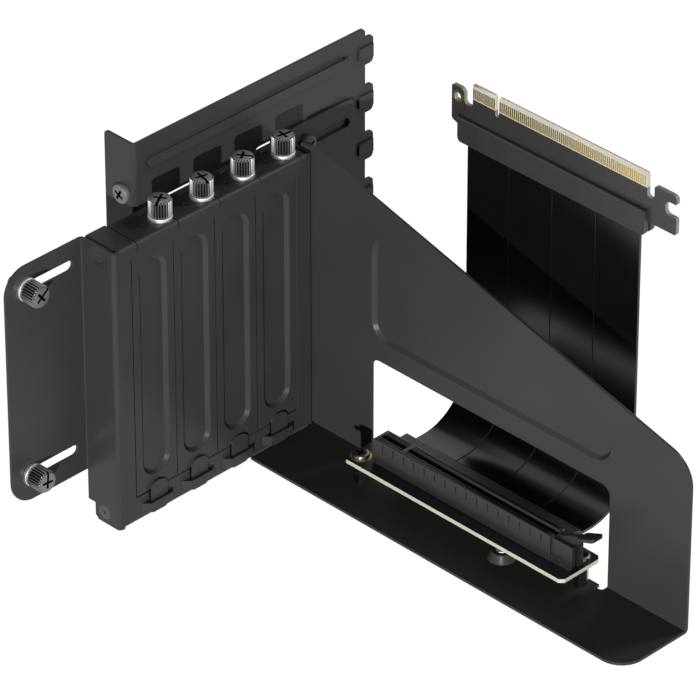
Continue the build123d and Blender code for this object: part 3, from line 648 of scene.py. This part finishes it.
class BRACKET_OT_back_plate(bpy.types.Operator):
    """Sliding rear plate whose rib and tongue pads stand out to the front, as in the photograph"""
    bl_idname = "bracket.back_plate"
    bl_label = "Rear plate"

    def execute(self, context):
        sizes = context.scene.bracket_sizes
        shape = joined_shape("back_plate")
        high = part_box("back_plate")[1]
        front, back = high.x, high.x - sizes.plate_sheet
        self.raise_rib(shape, front, back, high, sizes.plate_sheet)
        self.raise_pads(shape, front, back, high)
        soften(shape, sizes.sheet_edge)
        piece = add_piece(
            shape, "back_plate_dressed", [steel_coat()], "back_plate", ["back_plate"],
        )
        weigh_normals(piece)
        return {"FINISHED"}

    def raise_rib(self, shape, front, back, high, sheet):
        """Turn the long pressing round: its rounded outline stays, its floor comes out to the front."""
        half, depth, lean = 2.6 * MM, 1.4 * MM, 0.3
        # Where the solid's rib ends and how low it runs, from the plate's right and top edges
        right_end, left_end, drop = 12.4 * MM, 114.6 * MM, 10.4 * MM
        # How far the photograph shows it higher, and its ends aside
        lift, right_shift, left_shift = 0.8 * MM, -1.7 * MM, 0.4 * MM
        reach = 3.4 * MM
        right = high.y - right_end - half
        left = high.y - left_end + half
        middle = high.z - drop
        inner = half - 0.75 * sheet
        # Place across the sheet of each ring of corners, its new place and its radius
        rings = (
            (front, front, half), (front - depth, front + depth, half - lean * depth),
            (back, back, inner), (back - depth, back + depth, inner - lean * depth),
        )
        for vert in shape.verts:
            spine = Vector((min(max(vert.co.y, left), right), middle))
            out = vert.co.yz - spine
            if out.length > reach:
                continue
            for old, new, radius in rings:
                if abs(vert.co.x - old) < LAYER:
                    away = spine + out.normalized() * radius
                    shift = right_shift if spine.x > (left + right) / 2 else left_shift
                    vert.co = (new, away.x + shift, away.y + lift)
                    break

    def raise_pads(self, shape, front, back, high):
        """Turn the pads of the tongues round in the same way."""
        depth, margin, shift = 0.7 * MM, 0.4 * MM, 0.45 * MM
        # A pad's size, its place from the plate's right and top edges, and the pitch of the tongues, in mm
        width, height, inset, drop, pitch = 6.7, 4.7, 0.5, 7.9, 20.32
        right = high.y - inset * MM
        left = right - width * MM
        for row in range(7):
            top = high.z - (drop + pitch * row) * MM
            bottom = top - height * MM
            centre = Vector(((left + right) / 2, (top + bottom) / 2))
            size = Vector((right - left, top - bottom))
            grown = size + Vector((2 * margin, 2 * margin))
            wider = (grown.x / size.x, grown.y / size.y)
            narrower = (size.x / grown.x, size.y / grown.y)
            layers = (
                (front, front, wider), (front - depth, front + depth, wider),
                (back, back, narrower), (back - depth, back + depth, narrower),
            )
            for vert in shape.verts:
                out = vert.co.yz - centre
                if abs(out.x) > size.x / 2 + 1.1 * margin or abs(out.y) > size.y / 2 + 1.1 * margin:
                    continue
                for old, new, scale in layers:
                    if abs(vert.co.x - old) < LAYER:
                        away = (centre.x + out.x * scale[0] - shift, centre.y + out.y * scale[1])
                        vert.co = (new, *away)
                        break


class BRACKET_OT_slot_covers(bpy.types.Operator):
    """Slot covers with their pressed recesses"""
    bl_idname = "bracket.slot_covers"
    bl_label = "Slot covers"

    def execute(self, context):
        sizes = context.scene.bracket_sizes
        # A ball of this radius, sunk this deep, prints a dimple of about the set width
        ball_radius = sizes.dimple * 0.8
        sunk = ball_radius * 0.22
        for row in COVER_ROWS:
            name = f"slot_cover_{row}"
            shape = joined_shape(name)
            soften(shape, sizes.small_edge)
            # Two locating dimples: how far behind the screw and how far aside
            low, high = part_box(f"cover_screw_{row}")
            middle = (low + high) / 2
            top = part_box(name)[1].z
            tools = bmesh.new()
            for behind, aside in ((0.4 * MM, 8.4 * MM), (6.0 * MM, 4.2 * MM)):
                ball = bmesh.ops.create_uvsphere(tools, u_segments=32, v_segments=24, radius=ball_radius)
                bmesh.ops.translate(
                    tools, verts=ball["verts"],
                    vec=(middle.x - behind, middle.y - aside, top + ball_radius - sunk),
                )
            shape = cut_away(shape, tools)
            # Painted shade: the cut sides, which stand in each other's shadow, get the black, which draws
            # the lines between the covers
            for face in shape.faces:
                face.smooth = True
                face.material_index = 1 if abs(face.normal.y) > 0.95 else 0
            finishes = [steel_coat(), painted_pit_shade()]
            weigh_normals(add_piece(shape, f"{name}_dressed", finishes, name, [name]))
        return {"FINISHED"}


def keep_plan(shape):
    """Store the place seen along the turning axis as the shape's UV map, for lathe marks."""
    layer = shape.loops.layers.uv.new("plan")
    for face in shape.faces:
        for loop in face.loops:
            loop[layer].uv = loop.vert.co.xy


def seat_place(middle, base, upright):
    """Seat of a screw or collar that stands on the ledge, or lies on a flange and points forward."""
    if upright:
        return Matrix.Translation((middle.x, middle.y, base))
    return Matrix.Translation((base, middle.y, middle.z)) @ Matrix.Rotation(radians(90), 4, "Y")


def add_block(shape, size, place):
    """Box of this size round a place."""
    corners = bmesh.ops.create_cube(shape, size=1)["verts"]
    bmesh.ops.scale(shape, verts=corners, vec=size)
    bmesh.ops.translate(shape, verts=corners, vec=place)


def turned_shape(outline, steps, closed=False):
    """Shape turned about Z from an outline of radius and height."""
    shape = bmesh.new()
    verts = [shape.verts.new((x, 0, z)) for x, z in outline]
    following = verts[1:] + verts[:1] if closed else verts[1:]
    edges = [shape.edges.new(pair) for pair in zip(verts, following)]
    bmesh.ops.spin(
        shape, geom=verts + edges, cent=(0, 0, 0), axis=(0, 0, 1), angle=2 * pi, steps=steps,
        use_merge=True,
    )
    bmesh.ops.remove_doubles(shape, verts=shape.verts, dist=SEAM)
    bmesh.ops.recalc_face_normals(shape, faces=shape.faces)
    return shape


def ring_shape(inner, outer, thickness, steps):
    """Flat ring about Z that stands on Z = 0."""
    section = [(inner, 0), (outer, 0), (outer, thickness), (inner, thickness)]
    return turned_shape(section, steps, closed=True)


def smooth_up_to(piece, degrees):
    """Shade the piece smooth across edges flatter than this."""
    for face in piece.data.polygons:
        face.use_smooth = True
    piece.data.set_sharp_from_angle(angle=radians(degrees))


def knob_shape(sizes, radius, low, high, shank_radius, shank_length):
    """Knurled knob on its shank, turning about Z, with the seat of its collar at Z = 0."""
    shape = bmesh.new()
    steps = 4 * sizes.knob_ridges
    chamfer = 0.6 * MM
    band = 0.45 * MM
    ring = bmesh.ops.create_circle(shape, cap_ends=True, segments=steps, radius=shank_radius)["verts"]
    bmesh.ops.translate(shape, verts=ring, vec=(0, 0, -shank_length))
    edges = [e for e in shape.edges if e.is_boundary]
    # Outline from the shank's end to the rim of the knob's top: radius, height
    levels = [
        (shank_radius, low), (radius - 0.5 * MM, low), (radius - 0.25 * MM, low + 0.25 * MM),
        (radius, low + band), (radius, high - chamfer - 0.1 * MM),
        (radius - 0.2 * MM, high - chamfer + 0.15 * MM),
        (radius - chamfer, high - 0.05 * MM), (radius - chamfer - 0.15 * MM, high),
    ]
    height, reach = -shank_length, shank_radius
    for next_reach, next_height in levels:
        grown = bmesh.ops.extrude_edge_only(shape, edges=edges)["geom"]
        verts = [g for g in grown if isinstance(g, bmesh.types.BMVert)]
        edges = [g for g in grown if isinstance(g, bmesh.types.BMEdge)]
        bmesh.ops.translate(shape, verts=verts, vec=(0, 0, next_height - height))
        bmesh.ops.scale(shape, verts=verts, vec=(next_reach / reach, next_reach / reach, 1))
        height, reach = next_height, next_reach
    bmesh.ops.contextual_create(shape, geom=edges)
    # Every fourth line stays out as a ridge, the ones between sink in
    sunk = {0: 1.0, 1: 0.8, 2: 0.0, 3: 0.8}
    for vert in shape.verts:
        turn = round(atan2(vert.co.y, vert.co.x) / (2 * pi) * steps) % 4
        knurled = low + band - 0.05 * MM < vert.co.z < high - chamfer + 0.2 * MM
        if knurled and vert.co.xy.length > radius - 0.3 * MM:
            vert.co.xy *= 1 - sunk[turn] * sizes.ridge_depth / vert.co.xy.length
    bmesh.ops.recalc_face_normals(shape, faces=shape.faces)
    return shape


def drive_shape(width, depth, arm, reach, top):
    """Cutter for the cross and the one long arm in a knob's top."""
    shape = bmesh.new()
    for length, across, shift in ((arm, width, 0), (width, arm, 0), (reach, width, reach / 2)):
        add_block(shape, (length, across, 2 * depth), (shift, 0, top))
    return shape


class BRACKET_OT_thumb_screws(bpy.types.Operator):
    """Knurled thumb screws on the ledge and on both rear flanges"""
    bl_idname = "bracket.thumb_screws"
    bl_label = "Thumb screws"

    def execute(self, context):
        sizes = context.scene.bracket_sizes
        colours = context.scene.bracket_colours
        finish = nickel_plated_steel("nickel_plated_knob", colours.plating, 0.46)
        black = painted_shade_finish("painted_groove_shade", colours.groove)
        for order, name in enumerate(THUMB_SCREWS):
            low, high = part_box(name)
            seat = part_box(name.replace("screw", "washer"))
            upright = name.startswith("cover")
            along, across = (2, 0) if upright else (0, 1)
            radius = (high - low)[across] / 2
            base, top = seat[0][along], high[along]
            collar, shank = seat[1][along] - base, base - low[along]
            shape = knob_shape(sizes, radius, collar, top - base, 1.75 * MM, shank)
            tool = drive_shape(
                width=1.0 * MM, depth=1.2 * MM, arm=4.9 * MM, reach=radius + 1 * MM, top=top - base,
            )
            shape = cut_away(shape, tool)
            # Painted shade: the grooves between the ridges and the cross get the black
            for face in shape.faces:
                at = face.calc_center_median()
                sunk = at.xy.length < radius - 0.62 * sizes.ridge_depth
                in_groove_shade = sunk and abs(face.normal.z) < 0.3 and at.z > collar
                in_cross_shade = face.normal.z > 0.9 and collar < at.z < top - base - 0.8 * MM
                face.material_index = 1 if in_groove_shade or in_cross_shade else 0
            keep_plan(shape)
            # Each knob stands at another turn, as left by the hand
            turn = Matrix.Rotation(radians(-60 + 47 * order), 4, "Z")
            place = seat_place((low + high) / 2, base, upright)
            bmesh.ops.transform(shape, matrix=place @ turn, verts=shape.verts)
            piece = add_piece(shape, f"{name}_dressed", [finish, black], name, [name])
            smooth_up_to(piece, 28)
        return {"FINISHED"}


class BRACKET_OT_washers(bpy.types.Operator):
    """Bright collars under the thumb screws"""
    bl_idname = "bracket.washers"
    bl_label = "Collars"

    def execute(self, context):
        finish = nickel_plated_steel("nickel_plated_collar", context.scene.bracket_colours.washer, 0.42)
        # The photograph shows the collars a little wider than the solids
        bore, wider, edge = 1.85 * MM, 0.25 * MM, 0.2 * MM
        for name in [screw.replace("screw", "washer") for screw in THUMB_SCREWS]:
            low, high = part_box(name)
            upright = name.startswith("cover")
            along = 2 if upright else 0
            outer = (high.y - low.y) / 2 + wider
            shape = ring_shape(bore, outer, high[along] - low[along], 72)
            soften(shape, edge, 3)
            keep_plan(shape)
            place = seat_place((low + high) / 2, low[along], upright)
            bmesh.ops.transform(shape, matrix=place, verts=shape.verts)
            weigh_normals(add_piece(shape, f"{name}_dressed", [finish], name, [name]))
        return {"FINISHED"}


def pan_screw_shape(head_radius, head_height, shank, length):
    """Pan head screw with a cross recess, head up, seated on Z = 0."""
    # Half section with a low domed head: radius, height
    shape = turned_shape([
        (0, -length), (shank - 0.2 * MM, -length), (shank, -length + 0.2 * MM), (shank, 0),
        (head_radius - 0.1 * MM, 0), (head_radius, 0.15 * MM), (head_radius * 0.99, head_height * 0.5),
        (head_radius * 0.93, head_height * 0.8), (head_radius * 0.8, head_height * 0.97),
        (head_radius * 0.6, head_height), (0, head_height),
    ], 48)
    width, arm, depth = head_radius * 0.26, head_radius * 1.15, head_height * 0.6
    tool = bmesh.new()
    for length_x, length_y in ((arm, width), (width, arm)):
        add_block(tool, (length_x, length_y, 2 * depth), (0, 0, head_height))
    return cut_away(shape, tool)


class BRACKET_OT_small_screws(bpy.types.Operator):
    """Case screws, plate screws, countersunk side screws, board screws and posts"""
    bl_idname = "bracket.small_screws"
    bl_label = "Small screws and posts"

    def execute(self, context):
        edge = context.scene.bracket_sizes.small_edge
        colours = context.scene.bracket_colours
        dark = small_screw_steel("black_oxide_steel", colours.dark_screw, 0.6, 0.3)
        oiled = small_screw_steel("oiled_black_steel", tinted(colours.dark_screw, 0.12), 0.0, 0.5)
        zinc = small_screw_steel("dull_zinc_steel", colours.case_screw, 0.6, 0.5)
        nickel = small_screw_steel("dark_nickel_steel", colours.board_screw, 1.0, 0.25)
        for side in SIDES:
            dress(f"side_screws_{side}", dark, edge)
        for side in SIDES:
            dress(f"post_{side}", nickel, edge)
        up = Matrix.Identity(4)
        forward = Matrix.Rotation(pi / 2, 4, "Y")
        sideways = Matrix.Rotation(pi / 2, 4, "X")
        # Name and rows, finish, slot, axis, lay, turn of the cross, height of the head, radius of the shank
        kinds = (
            ("board_screw", SIDES, nickel, "board_screws", 2, up, 20, 1.5 * MM, 1.5 * MM),
            ("plate_screw", FLANGE_ROWS, oiled, "dark_screws", 0, forward, 30, 2.2 * MM, 1.75 * MM),
            ("case_screw", FLANGE_ROWS, zinc, "dark_screws", 1, sideways, 62, 2.2 * MM, 1.95 * MM),
        )
        for kind, rows, finish, slot, axis, lay, cross, head, shank in kinds:
            for row in rows:
                name = f"{kind}_{row}"
                low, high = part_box(name)
                span = high - low
                radius = span[(axis + 1) % 3] / 2
                shape = pan_screw_shape(radius, head, shank, span[axis] - head)
                self.paint_cross_shade(shape, radius, head)
                # The case screws have their heads at the low end, the others at the high end
                place = (low + high) / 2
                place[axis] = low[axis] + head if axis == 1 else high[axis] - head
                turn = Matrix.Rotation(radians(cross), 4, "Z")
                bmesh.ops.transform(shape, matrix=Matrix.Translation(place) @ lay @ turn, verts=shape.verts)
                piece = add_piece(shape, f"{name}_dressed", [finish, painted_pit_shade()], name, [name])
                smooth_up_to(piece, 32)
        return {"FINISHED"}

    def paint_cross_shade(self, shape, radius, head):
        """Paint shade on the floor and walls of the cross, which lie deeper than the head's rim: they get
        the black.
        """
        for face in shape.faces:
            at = face.calc_center_median()
            in_cross_shade = 0.1 * MM < at.z < 0.9 * head and at.xy.length < 0.6 * radius
            face.material_index = 1 if in_cross_shade else 0


class BRACKET_OT_card_socket(bpy.types.Operator):
    """Card socket with its chambers and cheeks"""
    bl_idname = "bracket.card_socket"
    bl_label = "Card socket"

    def execute(self, context):
        shape = joined_shape("card_socket")
        soften(shape, context.scene.bracket_sizes.moulded_edge)
        low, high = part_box("card_socket")
        middle = (low.y + high.y) / 2
        # A small window over each contact, in a row on either side of the groove, but none at the key
        first, aside, size = 3.1, 2.35 * MM, (0.6 * MM, 1.2 * MM, 1.6 * MM)
        windows = bmesh.new()
        for place in [*range(11), *range(13, 84)]:
            x = low.x + (first + place) * MM
            for side in (-1, 1):
                add_block(windows, size, (x, middle + side * aside, high.z))
        shape = cut_away(shape, windows)
        # Painted shade: black inside the windows, along the rows, beside the groove and just below the top
        rows_end, near, far, floor, rim = 87.5 * MM, 1.58 * MM, 3.2 * MM, 0.85 * MM, 0.02 * MM
        for face in shape.faces:
            face.smooth = True
            at = face.calc_center_median()
            in_window_shade = at.x < low.x + rows_end and near < abs(at.y - middle) < far
            face.material_index = 1 if in_window_shade and high.z - floor < at.z < high.z - rim else 0
        finish = moulded_nylon("moulded_socket_nylon", context.scene.bracket_colours.moulding, 0.36)
        piece = add_piece(
            shape, "card_socket_dressed", [finish, painted_pit_shade()], "card_socket",
            ["card_socket"],
        )
        weigh_normals(piece)
        return {"FINISHED"}


class BRACKET_OT_socket_latch(bpy.types.Operator):
    """Latch lever at the socket's end"""
    bl_idname = "bracket.socket_latch"
    bl_label = "Socket latch"

    def execute(self, context):
        finish = moulded_nylon("moulded_latch_nylon", context.scene.bracket_colours.latch, 0.5)
        dress("socket_latch", finish, context.scene.bracket_sizes.moulded_edge)
        return {"FINISHED"}


def board_piece(node, across, mask, edge, bare=None):
    """A board with lacquered faces and cut edges. Within bare (low x, high x, low z) it has no lacquer."""
    shape = joined_shape(node)
    if bare:
        bmesh.ops.bisect_plane(
            shape, geom=[*shape.verts, *shape.edges, *shape.faces],
            plane_co=(0, 0, bare[2]), plane_no=(0, 0, 1),
        )
    for face in shape.faces:
        flat = abs(face.normal[across]) > 0.99
        at = face.calc_center_median()
        tongue = bare and bare[0] < at.x < bare[1] and at.z > bare[2]
        face.material_index = 2 if tongue else (0 if flat else 1)
    return add_piece(shape, f"{node}_dressed", [mask, edge, ivory_laminate()], node, [node])


def pad_ring(name, node, middle, axis, hole, width):
    """Thin gilt ring round a hole on one face of a board."""
    shape = ring_shape(hole, hole + width, 0.05 * MM, 48)
    turn = Vector(axis).to_track_quat("Z", "X").to_matrix().to_4x4()
    bmesh.ops.transform(shape, matrix=Matrix.Translation(middle) @ turn, verts=shape.verts)
    return add_piece(shape, name, [gold_plate()], node)


class BRACKET_OT_riser_board(bpy.types.Operator):
    """Riser board with the gilt ring round its left screw"""
    bl_idname = "bracket.riser_board"
    bl_label = "Riser board"

    def execute(self, context):
        mask = black_solder_mask("black_solder_mask_riser", context.scene.bracket_colours.solder_mask)
        board_piece("riser_board", 2, mask, ivory_laminate())
        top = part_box("riser_board")[1].z
        low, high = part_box("board_screw_left")
        middle = ((low.x + high.x) / 2, (low.y + high.y) / 2, top)
        # The ring begins just under the screw's head
        inner = (high.x - low.x) / 2 - 0.3 * MM
        width = context.scene.bracket_sizes.screw_pad / 2 - inner
        pad_ring("riser_pad_left", "riser_board", middle, (0, 0, 1), inner, width)
        return {"FINISHED"}


class BRACKET_OT_plug_board(bpy.types.Operator):
    """Plug board with its card edge and the ring round its hole"""
    bl_idname = "bracket.plug_board"
    bl_label = "Plug board"

    def execute(self, context):
        mask = black_solder_mask("black_solder_mask_plug", context.scene.bracket_colours.plug_mask)
        low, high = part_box("plug_board")
        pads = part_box("plug_fingers")
        # The card edge has no lacquer from just outside its pads, over this height
        margin, height = 1.5 * MM, 6.2 * MM
        bare = (pads[0].x - margin, pads[1].x + margin, high.z - height)
        board_piece("plug_board", 1, mask, grey_laminate(), bare)
        hole_x, hole_z, hole_radius = low.x + 2.9 * MM, low.z + 11.8 * MM, 1.6 * MM
        width = context.scene.bracket_sizes.pad_ring
        for name, y, axis in (("front", low.y, (0, -1, 0)), ("back", high.y, (0, 1, 0))):
            pad_ring(f"plug_pad_{name}", "plug_board", (hole_x, y, hole_z), axis, hole_radius, width)
        return {"FINISHED"}


class BRACKET_OT_gilt_contacts(bpy.types.Operator):
    """Gold finish of the pads on the card edge"""
    bl_idname = "bracket.gilt_contacts"
    bl_label = "Gilt contacts"

    def execute(self, context):
        for place in frame["nodes"]["plug_fingers"].material_slots:
            place.material = gold_plate()
        return {"FINISHED"}


class BRACKET_OT_cable_covers(bpy.types.Operator):
    """Moulded covers at both ends of the riser cable"""
    bl_idname = "bracket.cable_covers"
    bl_label = "Cable covers"

    def execute(self, context):
        finish = moulded_nylon("moulded_cover_nylon", context.scene.bracket_colours.cover_moulding, 0.46)
        for name in ("root_cover_upper", "root_cover_lower", "plug_cover_front", "plug_cover_back"):
            dress(name, finish, context.scene.bracket_sizes.moulded_edge)
        return {"FINISHED"}


def push_out(shape, faces, way):
    """Draw faces out along a straight run, and return the faces at its end."""
    grown = bmesh.ops.extrude_face_region(shape, geom=faces)["geom"]
    verts = [g for g in grown if isinstance(g, bmesh.types.BMVert)]
    bmesh.ops.translate(shape, verts=verts, vec=way)
    bmesh.ops.delete(shape, geom=faces, context="FACES_ONLY")
    return [g for g in grown if isinstance(g, bmesh.types.BMFace)]


class BRACKET_OT_riser_ribbons(bpy.types.Operator):
    """Flat strips of the riser cable, bent up from the riser board to the plug board"""
    bl_idname = "bracket.riser_ribbons"
    bl_label = "Riser ribbons"

    def execute(self, context):
        sizes = context.scene.bracket_sizes
        finish = cable_sleeve("cable_sleeve_film", context.scene.bracket_colours.sleeve)
        for row in STRIP_ROWS:
            name = f"ribbon_strip_{row}"
            low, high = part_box(name)
            shape = self.strip_shape(low, high, sizes.strip_gap)
            soften(shape, sizes.strip_edge, 4, 60)
            weigh_normals(add_piece(shape, f"{name}_dressed", [finish], name, [name]))
        return {"FINISHED"}

    def strip_shape(self, low, high, gap):
        """One strip: out from the board, round the bend and up to the plug."""
        thick, bend = 1.2 * MM, 22.5 * MM
        left, right = low.x + gap, high.x - gap
        shape = bmesh.new()
        corners = ((left, low.z), (right, low.z), (right, low.z + thick), (left, low.z + thick))
        start = shape.faces.new([shape.verts.new((x, low.y, z)) for x, z in corners])
        run = high.y - low.y - bend - thick / 2
        end = push_out(shape, [start], (0, run, 0))
        centre = (0, low.y + run, low.z + thick / 2 + bend)
        turned = bmesh.ops.spin(
            shape, geom=end, cent=centre, axis=(1, 0, 0), angle=radians(90), steps=28,
        )["geom_last"]
        bmesh.ops.delete(shape, geom=end, context="FACES_ONLY")
        last = [g for g in turned if isinstance(g, bmesh.types.BMFace)]
        push_out(shape, last, (0, 0, high.z - centre[2]))
        bmesh.ops.remove_doubles(shape, verts=shape.verts, dist=SEAM)
        bmesh.ops.holes_fill(shape, edges=shape.edges)
        bmesh.ops.recalc_face_normals(shape, faces=shape.faces)
        return shape


OPERATORS = (
    BRACKET_OT_stage, BRACKET_OT_slot_panel, BRACKET_OT_side_panel, BRACKET_OT_back_plate,
    BRACKET_OT_slot_covers, BRACKET_OT_thumb_screws, BRACKET_OT_washers, BRACKET_OT_small_screws,
    BRACKET_OT_card_socket, BRACKET_OT_socket_latch, BRACKET_OT_riser_board, BRACKET_OT_plug_board,
    BRACKET_OT_gilt_contacts, BRACKET_OT_cable_covers, BRACKET_OT_riser_ribbons,
)


class BRACKET_PT_panel(bpy.types.Panel):
    """Pieces of the bracket, in the order in which they are made"""
    bl_idname = "BRACKET_PT_panel"
    bl_label = "Upright card bracket"
    bl_space_type = "VIEW_3D"
    bl_region_type = "UI"
    bl_category = "Bracket"

    def draw(self, context):
        for group in (context.scene.bracket_sizes, context.scene.bracket_colours):
            column = self.layout.column()
            for name in group.bl_rna.properties.keys():
                if name not in ("rna_type", "name"):
                    column.prop(group, name)
        for operator in OPERATORS:
            self.layout.operator(operator.bl_idname)


CLASSES = (BRACKET_PG_sizes, BRACKET_PG_colours, *OPERATORS, BRACKET_PT_panel)


def register():
    for item in CLASSES:
        bpy.utils.register_class(item)
    bpy.types.Scene.bracket_sizes = PointerProperty(type=BRACKET_PG_sizes)
    bpy.types.Scene.bracket_colours = PointerProperty(type=BRACKET_PG_colours)


def unregister():
    del bpy.types.Scene.bracket_colours
    del bpy.types.Scene.bracket_sizes
    for item in reversed(CLASSES):
        bpy.utils.unregister_class(item)


def main():
    """Make every piece in order."""
    register()
    for operator in OPERATORS:
        group, name = operator.bl_idname.split(".")
        getattr(getattr(bpy.ops, group), name)()


if __name__ == "__main__":
    main()
